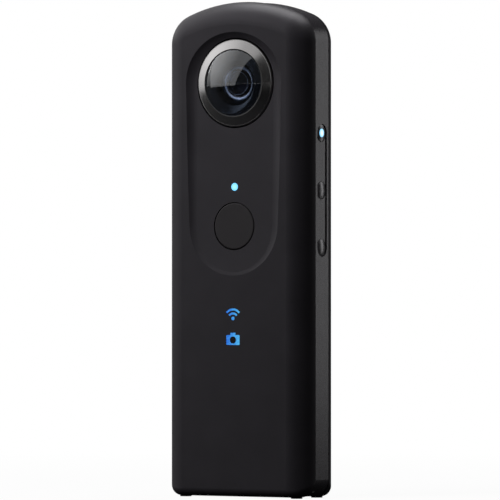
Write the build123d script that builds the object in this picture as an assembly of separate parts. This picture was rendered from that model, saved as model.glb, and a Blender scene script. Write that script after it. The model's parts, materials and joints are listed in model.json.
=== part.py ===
from build123d import *
import math
import os

# A slim, hand-held 360 degree camera with two fisheye lenses back to back.
# X runs to the right seen from the front, the front faces -Y, and Z is up.
# The origin is on the ground under the middle of the body.

# Driving sizes of the body
width = 44.0
height = 130.0
body_depth = 17.9
lens_depth = 22.9
foot_height = 0.35
wall = 1.3
arch_radius = 45.5
shoulder_radius = 8.3
bottom_corner_radius = 4.5
bottom_edge_radius = 2.0
face_crown_radius = 430.0
edge_radius = 6.1
band_depth = 6.6
crease_step = 0.08
seam_gap = 0.05
fit_gap = 0.1
sliding_gap = 0.05
cut_overrun = 5.0

# Shallow scoop in the front and rear faces
lens_drop = 21.4
shutter_drop = 37.5
scoop_side_margin = 4.9
scoop_top_margin = 3.0
scoop_lens_depth = 1.3
scoop_shutter_depth = 0.6
scoop_fillet_radius = 5.0
scoop_toe_radius = 300.0
scoop_skin = 1.2
flat_floor_share = 0.9

# Lens on each side, as radii and as heights above the middle plane
ring_overhang = 0.9
ring_gap = 0.35
ring_base_height = 6.2
ring_edge_height = 8.0
ring_rim_round = 0.35
ring_top_height = 8.75
ring_crest_width = 0.25
glass_radius = 8.6
glass_edge_height = 8.8
glass_seat_height = 6.7
glass_cup_radius = 5.35
glass_centre_thickness = 1.25
barrel_shoulder = 1.15
barrel_lip_wall = 0.8
barrel_lip_height = 7.3
baffle_radius = 5.9
baffle_throat_radius = 4.6
baffle_base_height = 5.45
second_lens_edge = 0.55
second_lens_rise = 1.2
barrel_throat_radius = 3.2

# Folded light path between the lenses
prism_size = 6.4
prism_shield_thickness = 0.2
optical_block_width = 17.0
optical_block_depth = 7.8
optical_block_height = 10.0
light_hole_radius = 2.8
relay_lens_radius = 3.0
relay_lens_length = 4.2
relay_lens_crown = 0.5
sensor_width = 7.2
sensor_height = 9.2
sensor_thickness = 1.2
sensor_board_width = 7.6
sensor_board_height = 11.5
sensor_board_thickness = 0.8
ear_side_gap = 5.0
ear_height = 3.6
ear_tip = 3.0
ear_thickness = 1.2
ear_offset = 7.75
ear_neck_width = 12.0
ear_neck_depth = 5.0
lug_depth = 2.0

# Shutter button and its switch
shutter_radius = 6.1
shutter_gap = 0.2
shutter_edge_round = 0.3
shutter_flange_radius = 6.9
shutter_flange_thickness = 0.5
shutter_rest_gap = 0.15
shutter_stem_radius = 1.5
shutter_travel = 0.4
switch_size = 6.0
switch_depth = 1.3
plunger_radius = 1.0
plunger_seat = 0.5

# Lamps and lit signs on the front
status_rise = 10.3
status_radius = 1.0
light_flange = 0.5
light_flange_thickness = 0.5
light_seat_gap = 0.07
led_width = 1.6
led_height = 0.8
led_depth = 0.7
sign_wall = 0.4
wireless_drop = 24.4
wireless_dot_radius = 0.47
wireless_dot_rise = 0.25
wireless_stroke = 0.5
wireless_inner_radius = 1.3
wireless_outer_radius = 2.36
wireless_half_angle = 48.0
glyph_drop = 5.25
glyph_width = 4.05
glyph_body_height = 2.55
glyph_round = 0.2
glyph_hump_width = 1.5
glyph_hump_height = 0.6
glyph_shift = 0.15
glyph_eye_radius = 0.97
glyph_eye_depth = 0.4
sign_plate_width = 6.0
sign_plate_height = 5.0
sign_plate_thickness = 0.5

# Three buttons on the right side
button_pitch = 15.0
button_count = 3
button_hole_radius = 2.35
button_gap = 0.15
button_dome = 0.2
button_flange = 0.4
button_flange_thickness = 0.5
button_rest_gap = 0.1
button_stem_radius = 0.8
button_travel = 0.3
button_recess = 0.28
lamp_radius = 1.1
lamp_flange_radius = 1.5
side_switch_width = 3.6
side_switch_depth = 1.6
side_plunger_radius = 0.7
side_plunger_seat = 0.4
side_board_width = 5.2
side_board_margin = 3.2
side_board_thickness = 0.8
side_board_inset = 5.8
side_board_ear_gap = 0.45

# Middle frame
tongue_height = 0.9
tongue_wall = 0.8
web_thickness = 0.9
web_face = 2.0
web_bottom = 14.0
web_drop = 34.2
bridge_height = 5.0
bridge_thickness = 1.2
rail_thickness = 0.7
rail_gap = 0.05
shelf_height = 3.0

# Boards, battery and what they carry
board_thickness = 0.8
board_face = 3.6
board_side_margin = 6.5
board_low_margin = 7.1
board_lens_drop = 15.2
board_corner = 1.5
can_width = 22.0
can_gap = 5.2
can_height = 10.8
can_depth = 1.8
can_wall = 0.2
chip_width = 9.0
chip_depth = 1.0
battery_side_margin = 7.5
battery_lens_drop = 37.2
battery_depth = 7.0
battery_bottom = 16.0
battery_face = 1.0
battery_corner = 1.5
pad_margin = 4.0
pad_top_margin = 20.0
pad_gap = 0.05
speaker_width = 4.4
speaker_height = 12.0
speaker_depth = 3.4
speaker_drop = 26.2
speaker_hole_radius = 0.45
speaker_hole_pitch = 1.8
speaker_hole_count = 5
microphone_width = 3.0
microphone_depth = 1.1
microphone_hole_radius = 0.5
antenna_width = 3.6
antenna_length = 22.0
antenna_thickness = 0.3
antenna_drop = 68.2

# Bottom plate, sockets and tripod nut
plate_side_margin = 1.35
plate_depth = 13.0
plate_corner = 4.0
foot_radius = 1.5
foot_plate_gap = 0.2
foot_y = 5.0
usb_gap = 0.45
usb_width = 7.5
usb_depth = 2.5
usb_length = 5.6
usb_shell = 0.3
usb_tongue = 0.6
usb_tongue_setback = 1.4
hdmi_gap = 0.75
hdmi_width = 6.5
hdmi_depth = 2.9
hdmi_length = 7.0
hdmi_shell = 0.3
hdmi_tongue = 0.7
hdmi_tongue_setback = 1.7
socket_corner = 0.6
tripod_bore_radius = 3.175
tripod_depth = 6.0
tripod_nut_radius = 4.8
tripod_flange_radius = 5.6
tripod_flange_thickness = 1.0
nut_housing_wall = 1.4
socket_recess = 0.2
port_board_top = 13.4
port_board_side_margin = 4.8
port_screw_margin = 1.0
port_screw_height = 5.0

# Small screws
screw_radius = 0.7
screw_head_radius = 1.35
screw_head_height = 0.7
frame_screw_inset = 4.8
frame_screw_length = 4.0
frame_screw_low = 24.0
frame_screw_drop = 9.0
boss_radius = 1.6
board_screw_side_margin = 2.1
board_screw_low_margin = 2.4
board_screw_top_margin = 2.6
board_screw_length = 2.3
board_boss_radius = 1.5

# Worked-out places
half_depth = body_depth / 2
half_band = band_depth / 2
half_width = width / 2
lens_apex = lens_depth / 2
lens_height = height - lens_drop
shutter_height = lens_height - shutter_drop
status_height = shutter_height + status_rise
wireless_height = shutter_height - wireless_drop
glyph_height = wireless_height - glyph_drop
barrel_lip_outer = glass_radius + seam_gap + barrel_lip_wall
barrel_radius = barrel_lip_outer + barrel_shoulder
ring_radius = barrel_radius + ring_overhang
lens_hole_radius = ring_radius + ring_gap
scoop_half_width = lens_hole_radius + scoop_side_margin
scoop_top_reach = lens_hole_radius + scoop_top_margin
arch_centre = height - arch_radius
shoulder_x = half_width - shoulder_radius
shoulder_z = arch_centre + math.sqrt((arch_radius - shoulder_radius) ** 2 - shoulder_x**2)
shoulder_angle = math.degrees(math.atan2(shoulder_z - arch_centre, shoulder_x))
crown_drop = (half_width - edge_radius) ** 2 / (face_crown_radius + face_crown_radius)
edge_centre = half_depth - crown_drop - edge_radius
edge_overshoot = edge_radius - math.sqrt(edge_radius**2 - (half_band - edge_centre) ** 2)
scoop_slope = (scoop_lens_depth - scoop_shutter_depth) / (lens_height - shutter_height)
scoop_angle = math.degrees(math.atan(scoop_slope))
band_face = half_width - crease_step
button_face = band_face - button_recess
side_board_face = half_width - side_board_inset
switch_face = side_board_face + side_switch_depth
plate_top = foot_height + wall
board_back = board_face - board_thickness
cavity_half_depth = half_depth - wall
tongue_end = half_band + tongue_height - edge_centre
tongue_inset = edge_radius - math.sqrt((edge_radius - wall) ** 2 - tongue_end**2) + fit_gap
frame_wall = tongue_inset + tongue_wall - crease_step
band_inner = band_face - frame_wall
frame_floor = foot_height + crease_step + frame_wall
frame_joint = band_inner + frame_wall / 2
rail_x = side_board_face - side_board_thickness - rail_gap
ear_reach = half_width - ear_side_gap
optical_screw_x = ear_reach - ear_height / 2
side_board_top = lens_height - ear_offset - ear_height / 2 - side_board_ear_gap
power_height = side_board_top - side_board_margin
button_heights = [power_height - step * button_pitch for step in reversed(range(button_count))]
side_board_bottom = button_heights[0] - side_board_margin
board_width = width - board_side_margin - board_side_margin
board_bottom = glyph_height - board_low_margin
board_top = lens_height - board_lens_drop
board_screw_x = board_width / 2 - board_screw_side_margin
board_screw_heights = (board_bottom + board_screw_low_margin, board_top - board_screw_top_margin)
can_bottom = shutter_height - switch_size / 2 - can_gap - can_height
battery_width = width - battery_side_margin - battery_side_margin
battery_top = lens_height - battery_lens_drop
battery_height = battery_top - battery_bottom
speaker_centre_height = lens_height - speaker_drop
antenna_bottom = lens_height - antenna_drop
web_top = lens_height - web_drop
frame_screw_x = half_width - frame_screw_inset
frame_screw_heights = (frame_screw_low, button_heights[0] - frame_screw_drop)
nut_housing_radius = tripod_nut_radius + nut_housing_wall
usb_x = -nut_housing_radius - usb_gap - usb_width / 2
hdmi_x = nut_housing_radius + hdmi_gap + hdmi_width / 2
plate_reach = usb_width / 2 - usb_x + plate_side_margin
plate_width = plate_reach + plate_reach
foot_x = plate_reach + foot_plate_gap + foot_radius
port_board_width = width - port_board_side_margin - port_board_side_margin
port_screw_x = port_board_width / 2 - port_screw_margin
block_face = optical_block_depth / 2
bridge_top = plate_top + bridge_height
port_board_face = hdmi_depth / 2
battery_rear = battery_depth - battery_face
battery_face_middle = (battery_rear - battery_face) / 2
sign_plate_face = cavity_half_depth - seam_gap
sign_plate_back = sign_plate_face - sign_plate_thickness
led_top = board_face + led_depth
wireless_middle = wireless_height + wireless_outer_radius / 2
button_top = band_face - seam_gap
button_radius = button_hole_radius - button_gap
button_flange_radius = button_hole_radius + button_flange
button_flange_face = band_inner - button_rest_gap
button_back = button_flange_face - button_flange_thickness
side_plunger_top = switch_face + side_plunger_seat
shutter_plunger_top = board_face + switch_depth + plunger_seat
lens_axis = Pos(0, 0, lens_height)


def scoop_floor(z):
    """How far in front of the middle plane the floor of the scoop is at height z."""
    return half_depth - scoop_shutter_depth - (z - shutter_height) * scoop_slope


shutter_face = scoop_floor(shutter_height)
status_face = scoop_floor(status_height)
flange_lean = shutter_flange_radius * scoop_slope
shutter_flange_face = shutter_face - scoop_skin - flange_lean - shutter_rest_gap


# Helpers

def block(x0, x1, y0, y1, z0, z1):
    """A box between two corners."""
    centre = Pos((x0 + x1) / 2, (y0 + y1) / 2, (z0 + z1) / 2)
    return centre * Box(abs(x1 - x0), abs(y1 - y0), abs(z1 - z0))


def rod_y(radius, y0, y1, x, z):
    """A round bar along Y."""
    return Pos(x, (y0 + y1) / 2, z) * Rot(90, 0, 0) * Cylinder(radius, abs(y1 - y0))


def rod_x(radius, x0, x1, y, z):
    """A round bar along X."""
    return Pos((x0 + x1) / 2, y, z) * Rot(0, 90, 0) * Cylinder(radius, abs(x1 - x0))


def rod_z(radius, z0, z1, x, y):
    """A round bar along Z."""
    return Pos(x, y, (z0 + z1) / 2) * Cylinder(radius, abs(z1 - z0))


def facing_front(sketch, y0, y1):
    """A drawing in X and Z, made solid from y0 to y1, which is nearer the front."""
    return extrude(Plane.XZ.offset(-y0) * sketch, amount=y0 - y1)


def cap_arc(radius, edge, apex):
    """Half of a ball's cap as a curve, from its rim at (radius, edge) to its apex on the axis."""
    rise = apex - edge
    ball = (radius**2 + rise**2) / (rise + rise)
    half = radius / 2
    level = apex - ball + math.copysign(math.sqrt(ball**2 - half**2), ball)
    return ThreePointArc((radius, edge), (half, level), (0, apex))


def turned(*curves):
    """A solid turned round the Y axis from curves in (radius, level)."""
    return revolve(make_face(Curve() + list(curves)), axis=Axis.Y)


def turned_lens(*curves):
    """A front lens piece, turned from curves in (radius, height above the middle plane)."""
    return Pos(0, 0, lens_height) * Rot(180, 0, 0) * turned(*curves)


def turned_side(z, *curves):
    """A piece of a side button, turned from curves in (radius, X)."""
    return Pos(0, 0, z) * Rot(0, 0, -90) * turned(*curves)


def to_rear(shape):
    """The same optical piece for the rear lens, turned half round the upright axis."""
    return Rot(0, 0, 180) * shape


def group(shapes):
    """Separate solids kept together in one node."""
    return Compound(children=[solid for shape in shapes for solid in shape.solids()])


def sides():
    return (-1, 1)


# Body shape

def outline(inset, corner):
    """The front view of the body, moved inwards by inset, with its lower corners rounded."""
    side = half_width - inset
    base = foot_height + inset
    shoulder = shoulder_radius - inset
    arch = arch_radius - inset
    edges = [
        Line((corner - side, base), (side - corner, base)),
        Line((side, base + corner), (side, shoulder_z)),
        CenterArc((shoulder_x, shoulder_z), shoulder, 0, shoulder_angle),
        CenterArc((0, arch_centre), arch, shoulder_angle, 180 - 2 * shoulder_angle),
        CenterArc((-shoulder_x, shoulder_z), shoulder, 180 - shoulder_angle, shoulder_angle),
        Line((-side, shoulder_z), (-side, base + corner)),
    ]
    if corner > 0:
        edges.append(CenterArc((side - corner, base + corner), corner, 270, 90))
        edges.append(CenterArc((corner - side, base + corner), corner, 180, 90))
    return make_face(Curve() + edges)


def half_body(inset):
    """The front half of the body's rounded form and lower corners, moved inwards by inset."""
    depth = half_depth - inset
    crown = face_crown_radius - inset
    form = facing_front(outline(inset - edge_overshoot, 0), 0, -depth)
    form &= Pos(0, crown - depth, height / 2) * Cylinder(crown, height + height)
    rim = [e for e in form.edges() if e.center().Y < -edge_centre and e.center().Z > bottom_corner_radius]
    form = fillet(rim, edge_radius - inset)
    corner = bottom_corner_radius - inset
    corner_z = foot_height - edge_overshoot + bottom_corner_radius
    for side in sides():
        x = side * (half_width + edge_overshoot - bottom_corner_radius)
        waste = block(x, side * width, -body_depth, width, -cut_overrun, corner_z)
        form -= waste - rod_y(corner, -body_depth, width, x, corner_z)
    return form


def outer_half():
    """The front half of the outside, with its bottom edge rounded."""
    form = half_body(0)
    low = foot_height + bottom_corner_radius
    edges = form.edges().filter_by(Axis.Y, reverse=True)
    rim = [e for e in edges if e.center().Z < low and e.center().Y < -edge_centre]
    return fillet(rim, bottom_edge_radius)


def scoop_section(side, level):
    """The side view of what the scoop takes away: a leaning floor that curves out at its toe."""
    lean = math.radians(scoop_angle)
    top_z = lens_height + scoop_top_reach + cut_overrun
    front = -half_depth - cut_overrun
    centre_y = -level - scoop_toe_radius * math.cos(lean)
    centre_z = shutter_height + scoop_toe_radius * math.sin(lean)

    def toe(z):
        return (centre_y + math.sqrt(scoop_toe_radius**2 - (z - centre_z) ** 2), z)

    tangent = (-level, shutter_height)
    end = toe(shutter_height - side - seam_gap)
    top = (-level + (top_z - shutter_height) * scoop_slope, top_z)
    return make_face(
        Curve()
        + [
            Line(top, tangent),
            ThreePointArc(tangent, toe(shutter_height - side / 2), end),
            Polyline(end, (front, end[1]), (front, top_z), top),
        ]
    )


def scoop(grow):
    """The scoop as a cutting form, or its backing when its walls are moved outwards by grow."""
    side = scoop_half_width + grow
    drawing = make_face(
        Curve()
        + [
            CenterArc((0, shutter_height), side, 180, 180),
            Line((side, shutter_height), (side, lens_height)),
            EllipticalCenterArc((0, lens_height), side, scoop_top_reach + grow, 0, arc_size=180),
            Line((-side, lens_height), (-side, shutter_height)),
        ]
    )
    form = facing_front(drawing, 0, -half_depth - cut_overrun)
    reach = side + seam_gap
    section = scoop_section(side, shutter_face - grow)
    form &= extrude(Plane.YZ.offset(-reach) * section, amount=reach + reach)
    near = [f for f in form.faces() if f.center().Y > -half_depth]
    floors = [f for f in near if abs(f.normal_at().Y) > flat_floor_share]
    rim = [e for e in form.edges() if sum(1 for f in floors if e in f.edges()) == 1]
    return fillet(rim, scoop_fillet_radius + grow)


# Covers

def plate_opening(ease, top):
    """The hole under the body that takes the bottom plate, narrowed all round by ease."""
    drawing = RectangleRounded(plate_width - ease - ease, plate_depth - ease - ease, plate_corner - ease)
    return extrude(drawing, amount=top)


def cover_shell():
    """One cover without its own openings: the rounded wall down to the edge of the band."""
    form = outer_half() - scoop(0)
    form -= half_body(wall) - scoop(scoop_skin)
    form -= block(-width, width, -half_band, cut_overrun, -cut_overrun, height + cut_overrun)
    for side in sides():
        form += rod_z(foot_radius, 0, foot_height + wall / 2, side * foot_x, -foot_y)
    form -= plate_opening(0, plate_top)
    return form - rod_y(lens_hole_radius, -half_depth - cut_overrun, 0, 0, lens_height)


def cover_bosses():
    """Posts inside the front cover that the frame is screwed to."""
    posts = Part()
    for side in sides():
        for z in frame_screw_heights:
            posts += rod_y(boss_radius, -half_depth, -web_face - seam_gap, side * frame_screw_x, z)
    posts &= half_body(wall / 2)
    for side in sides():
        for z in frame_screw_heights:
            end = web_face + frame_screw_length
            posts -= rod_y(screw_radius + seam_gap, -end, 0, side * frame_screw_x, z)
    return posts


def front_cover():
    front = -half_depth - cut_overrun
    inside = -sign_plate_face
    form = cover_shell() + cover_bosses()
    form -= rod_y(shutter_radius + shutter_gap, front, 0, 0, shutter_height)
    form -= rod_y(status_radius + seam_gap, front, 0, 0, status_height)
    form -= facing_front(wireless_drawing(seam_gap), inside, front)
    return form - facing_front(glyph_drawing(seam_gap), inside, front)


def rear_cover():
    return mirror(cover_shell(), about=Plane.XZ)


# Bottom plate

def socket_holes():
    """The two holes for the plugs."""
    ease = fit_gap + fit_gap
    usb = RectangleRounded(usb_width + ease, usb_depth + ease, socket_corner)
    hdmi = RectangleRounded(hdmi_width + ease, hdmi_depth + ease, socket_corner)
    return extrude(Pos(usb_x, 0) * usb + Pos(hdmi_x, 0) * hdmi, amount=plate_top)


def bottom_plate():
    form = plate_opening(fit_gap, plate_top) & block(-width, width, -width, width, foot_height, plate_top)
    return form - socket_holes() - rod_z(tripod_nut_radius + fit_gap, 0, plate_top, 0, 0)


# Middle frame

def hoop(inset, thickness, depth):
    """A hoop that follows the front view, depth wide and thickness thick."""
    ring = facing_front(outline(inset, bottom_corner_radius - inset), depth / 2, -depth / 2)
    inner = inset + thickness
    hole = outline(inner, max(bottom_corner_radius - inner, seam_gap))
    return ring - facing_front(hole, depth / 2 + seam_gap, -depth / 2 - seam_gap)


def button_openings():
    """The shallow slot along the right side and the three round holes in it."""
    low, high = button_heights[0], button_heights[-1]
    slot = block(button_face, half_width, -button_hole_radius, button_hole_radius, low, high)
    for z in (low, high):
        slot += rod_x(button_hole_radius, button_face, half_width, 0, z)
    for z in button_heights:
        slot += rod_x(button_hole_radius, band_inner - frame_wall, half_width, 0, z)
    return slot


def speaker_holes():
    """A row of round sound holes in the left side."""
    holes = Part()
    for step in range(speaker_hole_count):
        z = speaker_centre_height + (step - (speaker_hole_count - 1) / 2) * speaker_hole_pitch
        holes += rod_x(speaker_hole_radius, -half_width, -band_inner + seam_gap, 0, z)
    return holes


def lugs():
    """Four lugs that reach in from the band behind the ears of the optical block."""
    form = Part()
    for side in sides():
        for step in sides():
            z = lens_height + step * ear_offset
            low, high = z - ear_height / 2, z + ear_height / 2
            form += block(side * (ear_reach - ear_tip), side * frame_joint, 0, lug_depth, low, high)
            form -= rod_y(screw_radius, 0, lug_depth, side * optical_screw_x, z)
    return form


def nut_bridge():
    """The cross plate above the bottom plate, with the housing that holds the tripod nut."""
    form = block(-frame_joint, frame_joint, -half_band, bridge_thickness - half_band, plate_top, bridge_top)
    form += rod_z(nut_housing_radius, plate_top, bridge_top, 0, 0)
    form -= rod_z(tripod_nut_radius + seam_gap, plate_top, bridge_top, 0, 0)
    for side in sides():
        x = side * port_screw_x
        form += rod_y(board_boss_radius, -half_band, port_board_face, x, port_screw_height)
        form -= rod_y(screw_radius + seam_gap, -half_band, port_board_face, x, port_screw_height)
    return form


def web():
    """The upright plate between the main board and the battery, with the shelf above it."""
    back = web_thickness - web_face
    shelf = board_screw_heights[1]
    form = block(-frame_joint, frame_joint, -web_face, back, web_bottom, web_top)
    form += block(-frame_joint, rail_x, -web_face, back, shelf - shelf_height / 2, shelf + shelf_height / 2)
    form -= block(rail_x, frame_joint, -web_face, back, side_board_bottom - fit_gap, web_top)
    for side in sides():
        for z in frame_screw_heights:
            form -= rod_y(screw_radius + seam_gap, -web_face, back, side * frame_screw_x, z)
        for z in board_screw_heights:
            form += rod_y(board_boss_radius, -board_back, back, side * board_screw_x, z)
            form -= rod_y(screw_radius + seam_gap, -board_back, back, side * board_screw_x, z)
    return form


def side_rail():
    """The upright strip that backs the board of the side switches."""
    back = side_board_width / 2
    return block(rail_x - rail_thickness, rail_x, -web_face, back, side_board_bottom, side_board_top)


def mid_frame():
    form = hoop(crease_step, frame_wall, band_depth - seam_gap - seam_gap)
    form += hoop(tongue_inset, tongue_wall, band_depth + tongue_height + tongue_height)
    form -= plate_opening(-fit_gap, frame_floor + fit_gap)
    form += lugs() + nut_bridge() + web() + side_rail()
    form -= button_openings()
    form -= speaker_holes()
    return form - rod_z(microphone_hole_radius, height - frame_wall - wall, height, 0, 0)


# Lens on one side, drawn for the front

def lens_ring():
    rim_inner = ring_radius - ring_rim_round
    rim_low = ring_edge_height - ring_rim_round
    rim_bend = math.sin(math.radians(45)) * ring_rim_round
    inner = glass_radius + seam_gap
    lip = barrel_lip_outer + seam_gap
    return turned_lens(
        ThreePointArc(
            (rim_inner, ring_edge_height),
            (rim_inner + rim_bend, rim_low + rim_bend),
            (ring_radius, rim_low),
        ),
        Polyline([
            (ring_radius, rim_low),
            (ring_radius, ring_base_height),
            (lip, ring_base_height),
            (lip, barrel_lip_height + seam_gap),
            (inner, barrel_lip_height + seam_gap),
            (inner, ring_top_height),
            (inner + ring_crest_width, ring_top_height + seam_gap),
            (rim_inner, ring_edge_height),
        ]),
    )


def fisheye_dome():
    cup_apex = lens_apex - glass_centre_thickness
    return turned_lens(
        cap_arc(glass_radius, glass_edge_height, lens_apex),
        Polyline((glass_radius, glass_edge_height), (glass_radius, glass_seat_height),
                 (glass_cup_radius, glass_seat_height)),
        cap_arc(glass_cup_radius, glass_seat_height, cup_apex),
        Line((0, cup_apex), (0, lens_apex)),
    )


def baffle_ring():
    top = glass_seat_height - seam_gap
    return turned_lens(Polyline([
        (glass_cup_radius, top),
        (baffle_radius, top),
        (baffle_radius, baffle_base_height),
        (baffle_throat_radius, baffle_base_height),
    ], close=True))


def second_lens():
    base = baffle_base_height - second_lens_edge
    apex = baffle_base_height + second_lens_rise
    clear = baffle_throat_radius - fit_gap
    return turned_lens(
        cap_arc(clear, baffle_base_height, apex),
        Polyline((clear, baffle_base_height), (baffle_radius, baffle_base_height),
                 (baffle_radius, base), (0, base), (0, apex)),
    )


def lens_barrel():
    inner = glass_radius + seam_gap
    bore = baffle_radius + seam_gap
    seat = glass_seat_height - seam_gap
    floor = baffle_base_height - second_lens_edge
    return turned_lens(Polyline([
        (inner, barrel_lip_height),
        (barrel_lip_outer, barrel_lip_height),
        (barrel_lip_outer, ring_base_height),
        (barrel_radius, ring_base_height),
        (barrel_radius, block_face),
        (barrel_throat_radius, block_face),
        (barrel_throat_radius, floor),
        (bore, floor),
        (bore, seat),
        (inner, seat),
    ], close=True))


# Folded light path

def prism():
    """A right-angled prism that turns the front lens's light to the left."""
    half = prism_size / 2
    corner = half - prism_shield_thickness
    drawing = make_face(Polyline((-half, -half), (corner, -half), (-half, corner), close=True))
    return lens_axis * Pos(0, 0, -half) * extrude(drawing, amount=prism_size)


def prism_shield():
    """The thin black plate between the two prisms."""
    half = prism_size / 2
    tip = half - prism_shield_thickness + seam_gap
    drawing = make_face(Polyline((-half, tip), (tip, -half), (half, -tip), (-tip, half), close=True))
    return lens_axis * Pos(0, 0, -half) * extrude(drawing, amount=prism_size)


def optical_block():
    half = optical_block_width / 2
    core = optical_block_height / 2
    arm = ear_offset + ear_height / 2
    neck = ear_neck_width / 2
    form = block(-half, half, -block_face, block_face, -core, core)
    form += block(-neck, neck, -ear_neck_depth / 2, ear_neck_depth / 2, -arm, arm)
    for step in sides():
        z = step * ear_offset
        form += block(-ear_reach, ear_reach, -ear_thickness, 0, z - ear_height / 2, z + ear_height / 2)
        for side in sides():
            form -= rod_y(screw_radius + seam_gap, -ear_thickness, 0, side * optical_screw_x, z)
    cavity = prism_size / 2 + seam_gap
    form -= block(-cavity, cavity, -cavity, cavity, -cavity, cavity)
    form -= rod_y(light_hole_radius, -block_face, block_face, 0, 0)
    form -= rod_x(relay_lens_radius + seam_gap, -half, half, 0, 0)
    return lens_axis * form


def relay_lens():
    """The lens group between the front prism and its sensor."""
    near = prism_size / 2 + fit_gap
    far = near + relay_lens_length
    form = turned_side(
        lens_height,
        cap_arc(relay_lens_radius, near + relay_lens_crown, near),
        Line((relay_lens_radius, near + relay_lens_crown), (relay_lens_radius, far - relay_lens_crown)),
        cap_arc(relay_lens_radius, far - relay_lens_crown, far),
        Line((0, far), (0, near)),
    )
    return to_rear(form)


def image_sensor():
    half = optical_block_width / 2
    end = half + sensor_thickness
    form = block(-end, -half, -sensor_width / 2, sensor_width / 2, -sensor_height / 2, sensor_height / 2)
    return lens_axis * form


def sensor_board():
    start = optical_block_width / 2 + sensor_thickness
    end = start + sensor_board_thickness
    y, z = sensor_board_width / 2, sensor_board_height / 2
    return lens_axis * block(-end, -start, -y, y, -z, z)


# Shutter button, front facing

def shutter_plane():
    """The leaning plane of the scoop's floor at the shutter button."""
    return Pos(0, -shutter_face, shutter_height) * Rot(-scoop_angle, 0, 0)


def shutter_button():
    back = shutter_flange_face - shutter_flange_thickness
    cap = rod_y(shutter_radius, -half_depth, -shutter_flange_face, 0, shutter_height)
    cap -= shutter_plane() * block(-width, width, -half_depth, 0, -width, width)
    top = cap.faces().sort_by(Axis.Y)[0]
    cap = fillet(top.edges(), shutter_edge_round)
    cap += rod_y(shutter_flange_radius, -shutter_flange_face, -back, 0, shutter_height)
    return cap + rod_y(shutter_stem_radius, -back, -shutter_plunger_top, 0, shutter_height)


def shutter_plunger():
    inner = shutter_plunger_top - plunger_seat - plunger_seat
    return rod_y(plunger_radius, -shutter_plunger_top, -inner, 0, shutter_height)


def shutter_switch():
    half = switch_size / 2
    top = board_face + switch_depth
    low = shutter_plunger_top - plunger_seat - plunger_seat - shutter_travel - fit_gap
    form = block(-half, half, -top, -board_face, shutter_height - half, shutter_height + half)
    return form - rod_y(plunger_radius + sliding_gap, -top, -low, 0, shutter_height)


# Lamps and lit signs

def status_lamp():
    flange = status_face - scoop_skin - light_seat_gap
    form = rod_y(status_radius, -status_face, -led_top - fit_gap, 0, status_height)
    wide = status_radius + light_flange
    return form + rod_y(wide, -flange, light_flange_thickness - flange, 0, status_height)


def front_leds():
    """Three lamp chips on the front of the main board: behind the status lamp and the signs."""
    wide, high = led_width / 2, led_height / 2
    return group(
        block(-wide, wide, -led_top, -board_face, z - high, z + high)
        for z in (status_height, wireless_middle, glyph_height)
    )


def arc_band(radius, ease):
    """A curved stroke of the wireless sign."""
    outer = Circle(radius + wireless_stroke / 2 + ease)
    inner = Circle(radius - wireless_stroke / 2 - ease)
    reach = glyph_width + glyph_width
    spread = reach * math.tan(math.radians(wireless_half_angle))
    fan = make_face(Polyline((0, -ease), (spread, reach - ease), (-spread, reach - ease), close=True))
    return (outer - inner) & fan


def wireless_drawing(ease):
    """A dot with two arcs above it."""
    drawing = Pos(0, wireless_dot_rise) * Circle(wireless_dot_radius + ease)
    for radius in (wireless_inner_radius, wireless_outer_radius):
        drawing += arc_band(radius + wireless_stroke / 2, ease)
    return Pos(0, wireless_height) * drawing


def glyph_drawing(ease):
    """The outline of a small camera with a hump on top."""
    grown = glyph_round + ease
    body = RectangleRounded(glyph_width + ease + ease, glyph_body_height + ease + ease, grown)
    rise = glyph_body_height / 2 + glyph_hump_height / 2
    hump = Pos(0, rise / 2) * Rectangle(glyph_hump_width + ease + ease, rise + ease + ease)
    return Pos(0, glyph_height - glyph_shift) * (body + Pos(0, glyph_shift + glyph_shift) * hump)


def sign_plate(z):
    """The plate behind a sign that gathers the light."""
    drawing = Pos(0, z) * Rectangle(sign_plate_width, sign_plate_height)
    return facing_front(drawing, -sign_plate_back, -sign_plate_face)


def wireless_sign():
    return sign_plate(wireless_middle) + facing_front(wireless_drawing(0), -sign_plate_face, -half_depth)


def glyph_eye(ease, depth):
    middle = glyph_height - glyph_shift
    return rod_y(glyph_eye_radius + ease, -half_depth, depth - half_depth, 0, middle)


def camera_sign():
    form = sign_plate(glyph_height) + facing_front(glyph_drawing(0), -sign_plate_face, -half_depth)
    return form - glyph_eye(0, glyph_eye_depth)


def camera_sign_eye():
    return glyph_eye(-sliding_gap, glyph_eye_depth)


def sign_light_box():
    """The black box that keeps the light of each sign to itself."""
    wide = sign_plate_width / 2
    low = glyph_height - sign_plate_height / 2
    high = wireless_middle + sign_plate_height / 2
    middle = (low + high) / 2
    front, back = sign_plate_back - fit_gap, board_face
    form = block(-wide, wide, -front, -back, low, high)
    for z0, z1 in ((low + sign_wall, middle - sign_wall / 2), (middle + sign_wall / 2, high - sign_wall)):
        form -= block(sign_wall - wide, wide - sign_wall, -front, -back, z0, z1)
    return form


# Side buttons, each drawn at its own height

def dome_level(radius):
    """How far out the domed top of a side button is at this radius."""
    ball = (button_radius**2 + button_dome**2) / (button_dome + button_dome)
    return button_top - ball + math.sqrt(ball**2 - radius**2)


def dome_arc(outer, inner):
    """The stretch of a side button's dome between two radii."""
    middle = (outer + inner) / 2
    return ThreePointArc(
        (outer, dome_level(outer)), (middle, dome_level(middle)), (inner, dome_level(inner))
    )


def plain_button(z):
    """A domed cap, the flange that keeps it in its hole, and the stem that pushes its switch."""
    return turned_side(
        z,
        dome_arc(button_radius, 0),
        Polyline([
            (button_radius, dome_level(button_radius)),
            (button_radius, button_flange_face),
            (button_flange_radius, button_flange_face),
            (button_flange_radius, button_back),
            (button_stem_radius, button_back),
            (button_stem_radius, side_plunger_top),
            (0, side_plunger_top),
            (0, button_top),
        ]),
    )


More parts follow.
